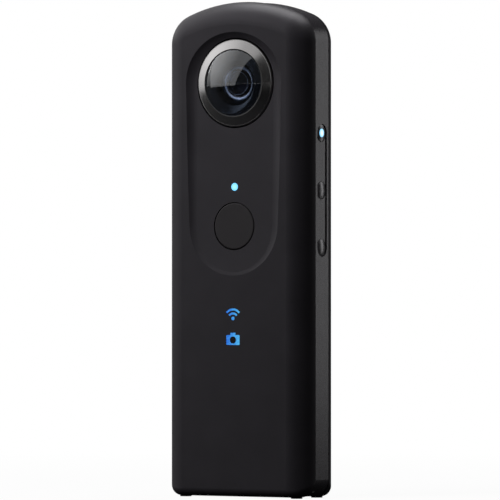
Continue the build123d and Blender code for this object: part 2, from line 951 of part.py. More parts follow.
def power_button(z):
    """The same cap and flange round the clear core of the power button."""
    hole = lamp_radius + seam_gap
    return turned_side(
        z,
        dome_arc(button_radius, hole),
        Polyline([
            (button_radius, dome_level(button_radius)),
            (button_radius, button_flange_face),
            (button_flange_radius, button_flange_face),
            (button_flange_radius, button_back),
            (hole, button_back),
            (hole, dome_level(hole)),
        ]),
    )


def power_lamp(z):
    """The clear core of the power button, which also pushes its switch."""
    return turned_side(
        z,
        dome_arc(lamp_radius, 0),
        Polyline([
            (lamp_radius, dome_level(lamp_radius)),
            (lamp_radius, button_back),
            (lamp_flange_radius, button_back),
            (lamp_flange_radius, button_back - light_flange_thickness),
            (lamp_radius, button_back - light_flange_thickness),
            (lamp_radius, side_plunger_top),
            (0, side_plunger_top),
            (0, button_top),
        ]),
    )


def side_plunger(z):
    inner = side_plunger_top - side_plunger_seat - side_plunger_seat
    return rod_x(side_plunger_radius, inner, side_plunger_top, 0, z)


def side_switch(z):
    half = side_switch_width / 2
    low = side_plunger_top - side_plunger_seat - side_plunger_seat - button_travel - fit_gap
    form = block(side_board_face, switch_face, -half, half, z - half, z + half)
    return form - rod_x(side_plunger_radius + sliding_gap, low, switch_face, 0, z)


def side_board():
    half = side_board_width / 2
    back = side_board_face - side_board_thickness
    return block(back, side_board_face, -half, half, side_board_bottom, side_board_top)


def power_led(z):
    start = z + side_switch_width / 2 + fit_gap
    half = led_width / 2
    return block(side_board_face, side_board_face + led_depth, -half, half, start, start + led_height)


# Boards and what they carry

def main_board():
    middle = (board_bottom + board_top) / 2
    drawing = Pos(0, middle) * RectangleRounded(board_width, board_top - board_bottom, board_corner)
    form = facing_front(drawing, -board_back, -board_face)
    for side in sides():
        for z in board_screw_heights:
            form -= rod_y(screw_radius + seam_gap, -board_face, 0, side * board_screw_x, z)
    return form


def shield_can():
    half = can_width / 2
    high = can_bottom + can_height
    form = block(-half, half, -board_face - can_depth, -board_face, can_bottom, high)
    inner = half - can_wall
    depth = board_face + can_depth - can_wall
    return form - block(-inner, inner, -depth, -board_face, can_bottom + can_wall, high - can_wall)


def processor():
    middle = can_bottom + can_height / 2
    half = chip_width / 2
    return block(-half, half, -board_face - chip_depth, -board_face, middle - half, middle + half)


def battery():
    drawing = Rectangle(battery_width, battery_depth)
    form = Pos(0, battery_face_middle, battery_bottom) * extrude(drawing, amount=battery_height)
    return fillet(form.edges().filter_by(Axis.Z), battery_corner)


def battery_pad():
    half = battery_width / 2 - pad_margin
    low = battery_bottom + pad_margin
    high = battery_top - pad_top_margin
    rear = cavity_half_depth - half**2 / (face_crown_radius + face_crown_radius) - pad_gap
    return block(-half, half, battery_rear + pad_gap, rear, low, high)


def speaker():
    outer = band_inner - seam_gap
    half = speaker_width / 2
    low = speaker_centre_height - speaker_height / 2
    return block(-outer, speaker_depth - outer, -half, half, low, low + speaker_height)


def microphone():
    half = microphone_width / 2
    top = height - crease_step - frame_wall - seam_gap
    top -= half**2 / (arch_radius - frame_wall)
    return block(-half, half, -half, half, top - microphone_depth, top)


def antenna():
    outer = band_inner - seam_gap
    start = seam_gap - battery_face
    return block(-outer, antenna_thickness - outer, start, start + antenna_width,
                 antenna_bottom, antenna_bottom + antenna_length)


# Sockets and the tripod nut

def socket(x, wide, deep, length, shell, tongue, setback):
    """A plug socket: a metal shell, open below, with its contact tongue."""
    low = foot_height + socket_recess
    drawing = RectangleRounded(wide, deep, socket_corner)
    hollow = RectangleRounded(wide - shell - shell, deep - shell - shell, socket_corner - shell)
    form = extrude(drawing, amount=length) - extrude(hollow, amount=length - shell)
    reach = wide / 2 - shell - tongue
    form += block(-reach, reach, -tongue / 2, tongue / 2, setback, length)
    return Pos(x, 0, low) * form


def usb_socket():
    return socket(usb_x, usb_width, usb_depth, usb_length, usb_shell, usb_tongue, usb_tongue_setback)


def hdmi_socket():
    return socket(hdmi_x, hdmi_width, hdmi_depth, hdmi_length, hdmi_shell, hdmi_tongue, hdmi_tongue_setback)


def port_board():
    half = port_board_width / 2
    back = port_board_face + board_thickness
    gap = tripod_flange_radius + nut_housing_wall
    form = block(-half, half, port_board_face, back, frame_floor + fit_gap, port_board_top)
    form -= block(-gap, gap, port_board_face, back, plate_top, bridge_top + tripod_flange_thickness + wall)
    for side in sides():
        x = side * port_screw_x
        form -= rod_y(screw_radius + seam_gap, port_board_face, back, x, port_screw_height)
    return form


def tripod_nut():
    low = foot_height + crease_step
    form = rod_z(tripod_nut_radius, low, bridge_top, 0, 0)
    form += rod_z(tripod_flange_radius, bridge_top, bridge_top + tripod_flange_thickness, 0, 0)
    return form - rod_z(tripod_bore_radius, low, low + tripod_depth, 0, 0)


# Screws

def screw(head_y, length, x, z):
    """A screw along Y: its head starts at head_y and its shank runs length the other way."""
    way = 1 if length > 0 else -1
    head = rod_y(screw_head_radius, head_y - way * screw_head_height, head_y, x, z)
    return head + rod_y(screw_radius, head_y, head_y + length, x, z)


def optical_screws():
    length = ear_thickness + lug_depth - fit_gap
    return group(
        screw(-ear_thickness, length, side * optical_screw_x, lens_height + step * ear_offset)
        for side in sides()
        for step in sides()
    )


def frame_screws():
    head_y = web_thickness - web_face
    return group(
        screw(head_y, -frame_screw_length, side * frame_screw_x, z)
        for side in sides()
        for z in frame_screw_heights
    )


def board_screws():
    shapes = []
    for side in sides():
        for z in board_screw_heights:
            shapes.append(screw(-board_face, board_screw_length, side * board_screw_x, z))
        head_y = port_board_face + board_thickness
        shapes.append(screw(head_y, -board_screw_length, side * port_screw_x, port_screw_height))
    return group(shapes)


def nodes():
    mode, wireless, power = button_heights
    front = {
        "lens_ring": lens_ring(),
        "fisheye_dome": fisheye_dome(),
        "baffle_ring": baffle_ring(),
        "second_lens": second_lens(),
        "lens_barrel": lens_barrel(),
        "prism": prism(),
        "relay_lens": relay_lens(),
        "image_sensor": image_sensor(),
        "sensor_board": sensor_board(),
    }
    parts = {
        "front_cover": front_cover(),
        "rear_cover": rear_cover(),
        "mid_frame": mid_frame(),
        "bottom_plate": bottom_plate(),
        "prism_shield": prism_shield(),
        "optical_block": optical_block(),
        "optical_screws": optical_screws(),
        "frame_screws": frame_screws(),
        "board_screws": board_screws(),
        "shutter_button": shutter_button(),
        "shutter_plunger": shutter_plunger(),
        "shutter_switch": shutter_switch(),
        "status_lamp": status_lamp(),
        "wireless_sign": wireless_sign(),
        "camera_sign": camera_sign(),
        "camera_sign_eye": camera_sign_eye(),
        "sign_light_box": sign_light_box(),
        "front_leds": front_leds(),
        "power_button": power_button(power),
        "power_lamp": power_lamp(power),
        "power_led": power_led(power),
        "wireless_button": plain_button(wireless),
        "mode_button": plain_button(mode),
        "power_plunger": side_plunger(power),
        "wireless_plunger": side_plunger(wireless),
        "mode_plunger": side_plunger(mode),
        "power_switch": side_switch(power),
        "wireless_switch": side_switch(wireless),
        "mode_switch": side_switch(mode),
        "side_board": side_board(),
        "main_board": main_board(),
        "processor": processor(),
        "shield_can": shield_can(),
        "battery": battery(),
        "battery_pad": battery_pad(),
        "speaker": speaker(),
        "microphone": microphone(),
        "antenna": antenna(),
        "usb_socket": usb_socket(),
        "hdmi_socket": hdmi_socket(),
        "port_board": port_board(),
        "tripod_nut": tripod_nut(),
    }
    for name, shape in front.items():
        parts["front_" + name] = shape
        parts["rear_" + name] = to_rear(shape)
    return parts


os.makedirs("parts", exist_ok=True)
for name, shape in nodes().items():
    export_step(shape, f"parts/{name}.step")
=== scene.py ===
import json
import math

import bmesh
import bpy
from mathutils import Matrix, Vector


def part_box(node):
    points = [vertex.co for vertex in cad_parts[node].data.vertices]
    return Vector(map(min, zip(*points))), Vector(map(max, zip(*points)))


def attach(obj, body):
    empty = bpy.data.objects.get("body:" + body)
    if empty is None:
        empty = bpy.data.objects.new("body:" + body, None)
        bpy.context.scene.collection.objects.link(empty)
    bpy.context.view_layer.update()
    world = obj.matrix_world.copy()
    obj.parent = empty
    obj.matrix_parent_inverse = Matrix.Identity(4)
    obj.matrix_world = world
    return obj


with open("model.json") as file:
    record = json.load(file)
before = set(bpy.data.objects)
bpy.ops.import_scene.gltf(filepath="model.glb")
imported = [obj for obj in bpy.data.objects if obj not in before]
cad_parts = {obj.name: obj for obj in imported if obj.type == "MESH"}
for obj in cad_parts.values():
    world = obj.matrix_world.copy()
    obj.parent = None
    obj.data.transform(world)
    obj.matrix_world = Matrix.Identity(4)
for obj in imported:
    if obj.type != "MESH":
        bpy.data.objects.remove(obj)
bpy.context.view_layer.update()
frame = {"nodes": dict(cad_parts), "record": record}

# A slim 360 degree camera. Lengths are in metres, in the frame's own axes:
# X to the right, the front towards -Y, and Z up from the ground.

mm = 0.001
lens_ring_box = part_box("front_lens_ring")
lens_height = (lens_ring_box[0].z + lens_ring_box[1].z) / 2

# Camera, where the photograph was taken from; film width and focal length are in mm
camera_azimuth = math.radians(32.3)
camera_distance = 1.53
camera_level = 56.5 * mm
aim_level = 64.9 * mm
aim_shift = 0.3 * mm
film_width = 36.0
focal_length = 418.8
near_limit = 0.1
far_limit = 100.0

# Plastics, chips and boards, in linear red, green and blue
soft_black = (0.0180, 0.0165, 0.0195)
# Lighter than the covers: partly the band's own plastic, partly painted light for its lit side
band_black_with_painted_light = (0.0260, 0.0240, 0.0275)
button_black = (0.0170, 0.0155, 0.0165)
deep_black = (0.0040, 0.0040, 0.0045)
chip_black = (0.02, 0.02, 0.022)
sensor_grey = (0.08, 0.07, 0.10)
plunger_grey = (0.5, 0.5, 0.48)
led_yellow = (0.7, 0.7, 0.55)
battery_blue = (0.05, 0.09, 0.16)
board_green = (0.012, 0.055, 0.030)
plastic_gleam = (0.97, 0.94, 1.0)

# Metals
bright_steel = (0.62, 0.60, 0.58)
ring_steel = (0.43, 0.42, 0.42)
# Near-white paint for the bands on the lens lips: a painted highlight, with a little metal
lip_highlight_white = (0.92, 0.92, 0.95)
warm_brass = (0.70, 0.50, 0.22)
bare_copper = (0.80, 0.42, 0.26)
contact_gold = (0.85, 0.62, 0.25)
screw_shade = 0.5

# Glass: its tint, the colour of its coating, and how much it bends light; the inner glass's dark tint
# is painted shade
outer_tint = (0.90, 0.91, 0.95)
outer_gleam = (0.80, 0.88, 1.0)
outer_bend = 1.52
coat_bend = 1.75
# Inner glass tinted dark: painted shade for the dim inside of the lens
inner_tint_painted_dark = (0.30, 0.28, 0.36)
inner_gleam = (1.0, 0.80, 0.66)
inner_bend = 1.7

# Lit lamps and signs
lamp_blue = (0.16, 0.62, 1.00)
status_core = (0.42, 0.86, 1.0)
power_core = (0.85, 0.97, 1.0)
status_radius = 1.0 * mm
power_radius = 1.1 * mm
status_strength = 0.85
power_strength = 1.0
core_share = 0.3
sign_deep_blue = (0.010, 0.110, 0.720)
sign_pale_blue = (0.090, 0.520, 0.930)
sign_strength = 0.6
sign_blend_share = 0.6

# Places on the lens: radii round its axis, and depths from the middle plane
ring_bore = 8.93 * mm
ring_rim = 11.15 * mm
ring_blend = 0.04 * mm
rim_satin = 0.10
glass_edge = 8.6 * mm
glass_seat = 6.7 * mm
ink_blend = 0.02 * mm
baffle_lip = 4.85 * mm
baffle_lip_half = 0.22 * mm
barrel_lip = 3.35 * mm
barrel_lip_half = 0.16 * mm
lip_metal_share = 0.15

# Patterns of the finishes: the size of their grains and the depth of their relief
plastic_cloud = 9.0 * mm
plastic_grain = 0.12 * mm
plastic_relief = 0.01 * mm
turning_pitch = 0.06 * mm
turning_relief = 0.002 * mm
metal_cloud = 1.5 * mm
metal_mark = 0.1 * mm
metal_relief = 0.004 * mm
glass_cloud = 6.0 * mm
glass_dust = 0.4 * mm
powder_grain = 0.06 * mm
powder_relief = 0.01 * mm
sign_cloud = 0.5 * mm
lamp_cloud = 0.4 * mm
track_relief = 0.02 * mm
tracks_per_metre = 220.0

# Rings that hold the inner lenses: radius, depth from the middle plane and wire radius
retainer_rings = ((5.05 * mm, 6.85 * mm, 0.12 * mm), (3.60 * mm, 6.00 * mm, 0.10 * mm))
ring_steps = 96
wire_sides = 12

# Thread of the tripod nut
thread_pitch = 1.27 * mm
thread_length = 5.8 * mm
thread_root = 3.20 * mm
thread_crest = 2.60 * mm
thread_base = 1.10 * mm
thread_tip = 0.18 * mm
thread_steps_a_turn = 48

# Contacts: the socket, how many, their pitch, and how far their face is from the middle plane
contact_rows = {
    "usb_contacts": ("usb_socket", 5, 1.0 * mm, 0.31 * mm),
    "hdmi_contacts": ("hdmi_socket", 9, 0.42 * mm, 0.36 * mm),
}
contact_start = 1.55 * mm
contact_length = 2.4 * mm
contact_thickness = 0.03 * mm
contact_width_share = 0.5

# Studio floor, and the card that only shiny surfaces see
studio_white = (1.0, 1.0, 1.0)
floor_white = (0.80, 0.80, 0.80)
floor_radius = 12.0
near_floor_white_share = 0.95
near_floor_end = 0.05
far_floor_start = 0.4
mat_radius = 8.0
mat_level = 0.05 * mm
sheet_sides = 96

# Room: where its window side is, how it fades from there, and how bright metal and glass see it
window_way = (-0.95, 0.0, 0.30)
window_fade_start = 0.5
window_fade_end = 0.9
horizon_share = 0.35
horizon_fade_end = 0.30
room_window_level = 0.85
room_dark_level = 0.03
room_light_level = 0.15

# Softboxes: where each stands, what it is turned to, its width and height, and its watts
upper_body = (0.0, 0.0, 0.10)
body_middle = (0.0, 0.0, 0.065)
lens_front = (0.0, 0.0, 0.11)
softboxes = {
    "key_box": ((-0.30, -0.28, 0.38), upper_body, (0.75, 0.75), 1.15),
    "top_box": ((0.0, 0.06, 0.42), body_middle, (0.35, 0.25), 1.2),
    "left_box": ((-0.46, 0.05, 0.26), upper_body, (0.11, 0.11), 0.05),
    "side_strip": ((0.32, 0.51, 0.20), body_middle, (0.09, 0.40), 0.31),
    "fill_box": ((-0.10, -0.22, 0.26), lens_front, (0.12, 0.12), 0.62),
}
box_without_reflection = "fill_box"


# Node helpers

def new_finish(name):
    """A material with its node tree, its shader and the place on the piece that patterns read."""
    material = bpy.data.materials.new(name)
    material.use_nodes = True
    tree = material.node_tree
    shader = tree.nodes["Principled BSDF"]
    place = tree.nodes.new("ShaderNodeTexCoord").outputs["Object"]
    return material, tree, shader, place


def set_inputs(node, **values):
    """Gives a node's sockets their plain values; an underscore in a key stands for a space."""
    for key, value in values.items():
        socket = node.inputs[key.replace("_", " ")]
        opaque_colour = socket.type == "RGBA"
        socket.default_value = (*value, 1.0) if opaque_colour else value


def speckle(tree, place, size, detail=3.0):
    """Noise with grains of this size."""
    noise = tree.nodes.new("ShaderNodeTexNoise")
    set_inputs(noise, Scale=1.0 / size, Detail=detail)
    tree.links.new(place, noise.inputs["Vector"])
    return noise.outputs["Fac"]


def colour_between(tree, factor, first, second, low=0.3, high=0.7):
    """A colour that goes from first to second as factor goes from low to high."""
    ramp = tree.nodes.new("ShaderNodeValToRGB")
    for stop, place, colour in zip(ramp.color_ramp.elements, (low, high), (first, second)):
        stop.position = place
        stop.color = (*colour, 1.0)
    tree.links.new(factor, ramp.inputs["Fac"])
    return ramp.outputs["Color"]


def value_between(tree, factor, first, second, low=0.3, high=0.7):
    """A number that goes from first to second as factor goes from low to high."""
    reach = tree.nodes.new("ShaderNodeMapRange")
    for key, value in zip(("From Min", "From Max", "To Min", "To Max"), (low, high, first, second)):
        reach.inputs[key].default_value = value
    tree.links.new(factor, reach.inputs["Value"])
    return reach.outputs["Result"]


def parts_of(tree, place):
    """The X, Y and Z of a place, as the outputs of one node."""
    split = tree.nodes.new("ShaderNodeSeparateXYZ")
    tree.links.new(place, split.inputs["Vector"])
    return split.outputs


def emboss(tree, shader, height, depth, strength):
    """Bumps the surface by depth where height is 1."""
    bump = tree.nodes.new("ShaderNodeBump")
    set_inputs(bump, Strength=strength, Distance=depth)
    tree.links.new(height, bump.inputs["Height"])
    tree.links.new(bump.outputs["Normal"], shader.inputs["Normal"])


def joined(tree, way, first, second):
    """Two numbers put together in one way, such as MULTIPLY or MAXIMUM."""
    both = tree.nodes.new("ShaderNodeMath")
    both.operation = way
    tree.links.new(first, both.inputs[0])
    tree.links.new(second, both.inputs[1])
    return both.outputs["Value"]


def show_mix(tree, factor, first, second, output):
    """Shows the first shader where factor is 0 and the second where it is 1."""
    mix = tree.nodes.new("ShaderNodeMixShader")
    tree.links.new(factor, mix.inputs["Fac"])
    tree.links.new(first, mix.inputs[1])
    tree.links.new(second, mix.inputs[2])
    tree.links.new(mix.outputs["Shader"], tree.nodes[output].inputs["Surface"])


def shade(colour, share):
    """The colour made darker or lighter."""
    return tuple(min(1.0, channel * share) for channel in colour)


# Finishes

def moulded_plastic(name, colour, roughness, gloss=0.3):
    """Dark moulded plastic with a fine spark-eroded grain and slight cloudy variation."""
    material, tree, shader, place = new_finish(name)
    set_inputs(shader, Specular_IOR_Level=gloss, Specular_Tint=plastic_gleam)
    clouds = speckle(tree, place, plastic_cloud)
    tint = colour_between(tree, clouds, shade(colour, 0.9), shade(colour, 1.1))
    tree.links.new(tint, shader.inputs["Base Color"])
    fine = speckle(tree, place, plastic_grain, 2.0)
    rough = value_between(tree, fine, roughness - 0.05, roughness + 0.05)
    tree.links.new(rough, shader.inputs["Roughness"])
    emboss(tree, shader, fine, plastic_relief, 0.25)
    return material


def lens_radius(tree, place):
    """How far a point is from the axis of the lenses."""
    flat = tree.nodes.new("ShaderNodeMapping")
    set_inputs(flat, Location=(0.0, 0.0, -lens_height), Scale=(1.0, 0.0, 1.0))
    tree.links.new(place, flat.inputs["Vector"])
    away = tree.nodes.new("ShaderNodeVectorMath")
    away.operation = "LENGTH"
    tree.links.new(flat.outputs["Vector"], away.inputs[0])
    return away.outputs["Value"]


def turned_metal(name, colour, roughness):
    """Machined metal with fine rings left by the tool, black inside its bore and satin on its rim."""
    material, tree, shader, place = new_finish(name)
    radius = lens_radius(tree, place)
    outside = value_between(tree, radius, 0.0, 1.0, ring_bore, ring_bore + ring_blend)
    tree.links.new(outside, shader.inputs["Metallic"])
    tint = colour_between(tree, outside, deep_black, colour, 0.0, 1.0)
    tree.links.new(tint, shader.inputs["Base Color"])
    rings = tree.nodes.new("ShaderNodeMath")
    rings.operation = "PINGPONG"
    tree.links.new(radius, rings.inputs[0])
    rings.inputs[1].default_value = turning_pitch
    groove = value_between(tree, rings.outputs["Value"], 0.0, 1.0, 0.0, turning_pitch)
    turned = value_between(tree, groove, roughness - 0.03, roughness + 0.03, 0.0, 1.0)
    satin = value_between(tree, radius, 0.0, rim_satin, ring_rim - ring_blend, ring_rim)
    tree.links.new(joined(tree, "ADD", turned, satin), shader.inputs["Roughness"])
    emboss(tree, shader, groove, turning_relief, 0.15)
    return material


def plain_metal(name, colour, roughness):
    """Stamped or plated metal, a little cloudy, with fine marks."""
    material, tree, shader, place = new_finish(name)
    set_inputs(shader, Metallic=1.0)
    cloud = speckle(tree, place, metal_cloud)
    tint = colour_between(tree, cloud, shade(colour, 0.88), shade(colour, 1.08))
    tree.links.new(tint, shader.inputs["Base Color"])
    rough = value_between(tree, cloud, roughness - 0.06, roughness + 0.06)
    tree.links.new(rough, shader.inputs["Roughness"])
    emboss(tree, shader, speckle(tree, place, metal_mark), metal_relief, 0.2)
    return material


def polished_glass(name, tint, gleam, bend):
    """Polished glass whose reflections take the colour of its coating, with a little dust."""
    material, tree, shader, place = new_finish(name)
    set_inputs(shader, Transmission_Weight=1.0, IOR=bend, Specular_Tint=gleam)
    cloud = speckle(tree, place, glass_cloud)
    tree.links.new(colour_between(tree, cloud, shade(tint, 0.98), tint), shader.inputs["Base Color"])
    dust = speckle(tree, place, glass_dust, 4.0)
    tree.links.new(value_between(tree, dust, 0.0, 0.03, 0.62, 0.85), shader.inputs["Roughness"])
    return material


def dome_glass(name, tint, gleam, bend):
    """The outer lens: coated glass that lets lamps through, with black ink on its edge and seat."""
    material = polished_glass(name, tint, gleam, bend)
    tree = material.node_tree
    shader = tree.nodes["Principled BSDF"]
    set_inputs(shader, Coat_Weight=1.0, Coat_IOR=coat_bend, Coat_Roughness=0.01, Coat_Tint=gleam)
    place = tree.nodes.new("ShaderNodeTexCoord").outputs["Object"]
    depth = tree.nodes.new("ShaderNodeMath")
    depth.operation = "ABSOLUTE"
    tree.links.new(parts_of(tree, place)["Y"], depth.inputs[0])
    ink_end = glass_edge - ink_blend
    off_edge = value_between(tree, lens_radius(tree, place), 1.0, 0.0, ink_end - ink_blend, ink_end)
    seat_end = glass_seat + ink_blend
    off_seat = value_between(tree, depth.outputs["Value"], 0.0, 1.0, seat_end, seat_end + ink_blend)
    clear = joined(tree, "MULTIPLY", off_edge, off_seat)
    tree.links.new(clear, shader.inputs["Transmission Weight"])
    ink = colour_between(tree, clear, deep_black, tint, 0.0, 1.0)
    tree.links.new(ink, shader.inputs["Base Color"])
    see_through = tree.nodes.new("ShaderNodeBsdfTransparent")
    set_inputs(see_through, Color=tint)
    lamp_ray = tree.nodes.new("ShaderNodeLightPath").outputs["Is Shadow Ray"]
    let_through = joined(tree, "MULTIPLY", clear, lamp_ray)
    show_mix(tree, let_through, shader.outputs["BSDF"], see_through.outputs["BSDF"], "Material Output")
    return material


def black_with_painted_lip_highlight(name, radius, half, roughness):
    """Black paint with one narrow band round the lens axis, painted near-white as a highlight on the
    lip, with a little metal in it.
    """
    material, tree, shader, place = new_finish(name)
    band = tree.nodes.new("ShaderNodeMath")
    band.operation = "COMPARE"
    tree.links.new(lens_radius(tree, place), band.inputs[0])
    band.inputs[1].default_value = radius
    band.inputs[2].default_value = half
    # The band round the axis is painted near-white as the lip's highlight
    bright = band.outputs["Value"]
    metal = value_between(tree, bright, 0.0, lip_metal_share, 0.0, 1.0)
    tree.links.new(metal, shader.inputs["Metallic"])
    tint = colour_between(tree, bright, deep_black, lip_highlight_white)
    tree.links.new(tint, shader.inputs["Base Color"])
    powder = speckle(tree, place, powder_grain)
    rough = value_between(tree, powder, roughness - 0.06, roughness + 0.06)
    tree.links.new(rough, shader.inputs["Roughness"])
    emboss(tree, shader, powder, powder_relief, 0.3)
    return material


def lit_resin(name, first, second, strength, left, right):
    """Clear resin lit from behind, whose colour goes from first at x = left to second at x = right."""
    material, tree, shader, place = new_finish(name)
    set_inputs(shader, Roughness=0.25, Emission_Strength=strength)
    across = value_between(tree, parts_of(tree, place)["X"], 0.0, 1.0, left, right)
    glow = colour_between(tree, across, first, second, 0.0, 1.0)
    tree.links.new(glow, shader.inputs["Emission Color"])
    cloud = speckle(tree, place, sign_cloud)
    tint = colour_between(tree, cloud, shade(first, 0.5), shade(second, 0.6))
    tree.links.new(tint, shader.inputs["Base Color"])
    return material


def round_glow(name, core, rim, strength, centre, radius):
    """A lit lens cap, nearly white in its middle and coloured at its rim."""
    material, tree, shader, place = new_finish(name)
    set_inputs(shader, Roughness=0.2, Emission_Strength=strength)
    away = tree.nodes.new("ShaderNodeVectorMath")
    away.operation = "DISTANCE"
    away.inputs[1].default_value = centre
    tree.links.new(place, away.inputs[0])
    fade = value_between(tree, away.outputs["Value"], 0.0, 1.0, radius * core_share, radius)
    glow = colour_between(tree, fade, core, rim, 0.0, 1.0)
    tree.links.new(glow, shader.inputs["Emission Color"])
    cloud = speckle(tree, place, lamp_cloud)
    tint = colour_between(tree, cloud, shade(rim, 0.5), shade(rim, 0.7))
    tree.links.new(tint, shader.inputs["Base Color"])
    return material


def circuit_laminate(name):
    """Green solder resist over copper tracks."""
    material, tree, shader, place = new_finish(name)
    set_inputs(shader, Roughness=0.35)
    tracks = tree.nodes.new("ShaderNodeTexBrick")
    set_inputs(tracks, Scale=tracks_per_metre, Mortar_Size=0.06)
    tree.links.new(place, tracks.inputs["Vector"])
    tint = colour_between(tree, tracks.outputs["Fac"], board_green, shade(board_green, 1.7), 0.2, 0.8)
    tree.links.new(tint, shader.inputs["Base Color"])
    emboss(tree, shader, tracks.outputs["Fac"], track_relief, 0.3)
    return material


def dull_black(name, roughness=0.75):
    """Light-trapping black with a fine powdery grain."""
    material, tree, shader, place = new_finish(name)
    set_inputs(shader, Specular_IOR_Level=0.2)
    powder = speckle(tree, place, powder_grain)
    tint = colour_between(tree, powder, deep_black, shade(deep_black, 2.2))
    tree.links.new(tint, shader.inputs["Base Color"])
    rough = value_between(tree, powder, roughness - 0.1, roughness + 0.1)
    tree.links.new(rough, shader.inputs["Roughness"])
    emboss(tree, shader, powder, powder_relief, 0.3)
    return material


def plastics():
    """The plastics and the painted, coated and printed surfaces, by slot."""
    return {
        "cover_plastic": moulded_plastic("cover_plastic", soft_black, 0.42),
        # The band's colour is partly painted light for its lit side
        "frame_plastic": moulded_plastic("frame_plastic", band_black_with_painted_light, 0.28),
        "plate_plastic": moulded_plastic("plate_plastic", soft_black, 0.5),
        "shutter_plastic": moulded_plastic("shutter_plastic", button_black, 0.45),
        "side_button_plastic": moulded_plastic("side_button_plastic", band_black_with_painted_light, 0.2, gloss=0.5),
        "plunger_plastic": moulded_plastic("plunger_plastic", plunger_grey, 0.5),
        "speaker_plastic": moulded_plastic("speaker_plastic", soft_black, 0.55),
        "eye_plastic": moulded_plastic("eye_plastic", deep_black, 0.3),
        "sensor_ceramic": moulded_plastic("sensor_ceramic", sensor_grey, 0.3),
        "chip_plastic": moulded_plastic("chip_plastic", chip_black, 0.5),
        "led_resin": moulded_plastic("led_resin", led_yellow, 0.3),
        "battery_wrap": moulded_plastic("battery_wrap", battery_blue, 0.35),
        # Both lips carry a band of painted highlight
        "baffle_black": black_with_painted_lip_highlight("baffle_black", baffle_lip, baffle_lip_half, 0.3),
        "barrel_plastic": black_with_painted_lip_highlight("barrel_plastic", barrel_lip, barrel_lip_half, 0.6),
        "pad_foam": dull_black("pad_foam", 0.85),
        "circuit_board": circuit_laminate("circuit_board"),
    }


def metals():
    """The metals, by slot."""
    return {
        "ring_metal": turned_metal("ring_metal", ring_steel, 0.2),
        "switch_metal": plain_metal("switch_metal", bright_steel, 0.35),
        "can_steel": plain_metal("can_steel", bright_steel, 0.3),
        "socket_steel": plain_metal("socket_steel", bright_steel, 0.28),
        "screw_steel": plain_metal("screw_steel", shade(bright_steel, screw_shade), 0.35),
        "nut_brass": plain_metal("nut_brass", warm_brass, 0.3),
        "antenna_copper": plain_metal("antenna_copper", bare_copper, 0.3),
        "contact_gold": plain_metal("contact_gold", contact_gold, 0.25),
    }


def glasses_and_lights():
    """The lenses, and the lamps and signs that are lit, by slot."""
    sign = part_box("camera_sign")
    sign_left = sign[0].x * sign_blend_share
    sign_right = sign[1].x * sign_blend_share
    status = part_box("status_lamp")
    status_top = (0.0, status[0].y, (status[0].z + status[1].z) / 2)
    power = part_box("power_lamp")
    power_top = (power[1].x, 0.0, (power[0].z + power[1].z) / 2)
    return {
        "dome_glass": dome_glass("dome_glass", outer_tint, outer_gleam, outer_bend),
        # The inner glass's dark tint is painted shade
        "inner_glass": polished_glass("inner_glass", inner_tint_painted_dark, inner_gleam, inner_bend),
        "status_light": round_glow(
            "status_light", status_core, lamp_blue, status_strength, status_top, status_radius
        ),
        "power_light": round_glow(
            "power_light", power_core, lamp_blue, power_strength, power_top, power_radius
        ),
        "sign_light": lit_resin(
            "sign_light", sign_deep_blue, sign_pale_blue, sign_strength, sign_left, sign_right
        ),
    }


def dress_nodes(finishes):
    """Gives every CAD node the finish of its slot."""
    for part in frame["record"]["subparts"]:
        surfaces = frame["nodes"][part["node"]].data.materials
        surfaces.clear()
        surfaces.append(finishes[part["material_slot"]])


# Small pieces that the solids leave out

def finished_piece(name, bm, finish, smooth=True):
    """A new piece of the body, with one finish, from a finished bmesh."""
    bmesh.ops.recalc_face_normals(bm, faces=bm.faces)
    for face in bm.faces:
        face.smooth = smooth
    mesh = bpy.data.meshes.new(name)
    bm.to_mesh(mesh)
    bm.free()
    mesh.materials.append(finish)
    piece = bpy.data.objects.new(name, mesh)
    bpy.context.scene.collection.objects.link(piece)
    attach(piece, "body")


def lens_retainers(name, side, finishes):
    """The round wire rings that hold the inner lenses; side is -1 for the front and 1 for the rear."""
    bm = bmesh.new()
    for radius, depth, wire in retainer_rings:
        place = Matrix.Translation((radius, side * depth, lens_height))
        circle = bmesh.ops.create_circle(bm, segments=wire_sides, radius=wire, matrix=place)
        section = circle["verts"]
        edges = list({edge for vert in section for edge in vert.link_edges})
        bmesh.ops.spin(
            bm, geom=section + edges, cent=(0.0, 0.0, lens_height), axis=(0.0, 1.0, 0.0),
            angle=math.tau, steps=ring_steps, use_merge=True,
        )
    finished_piece(name, bm, finishes["socket_steel"])


def tripod_thread(finishes):
    """The helical ridge inside the tripod nut."""
    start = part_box("tripod_nut")[0].z + thread_base
    turns = (thread_length - thread_pitch) / thread_pitch
    steps = int(turns * thread_steps_a_turn)
    bm = bmesh.new()
    corners = []
    for radius, level in (
        (thread_root, -thread_base / 2), (thread_crest, -thread_tip / 2),
        (thread_crest, thread_tip / 2), (thread_root, thread_base / 2),
    ):
        corners.append(bm.verts.new((radius, 0.0, start + level)))
    section = bm.faces.new(corners)
    bmesh.ops.spin(
        bm, geom=[section], cent=(0.0, 0.0, 0.0), axis=(0.0, 0.0, 1.0),
        dvec=(0.0, 0.0, turns * thread_pitch / steps), angle=turns * math.tau, steps=steps,
    )
    finished_piece("tripod_thread", bm, finishes["nut_brass"])


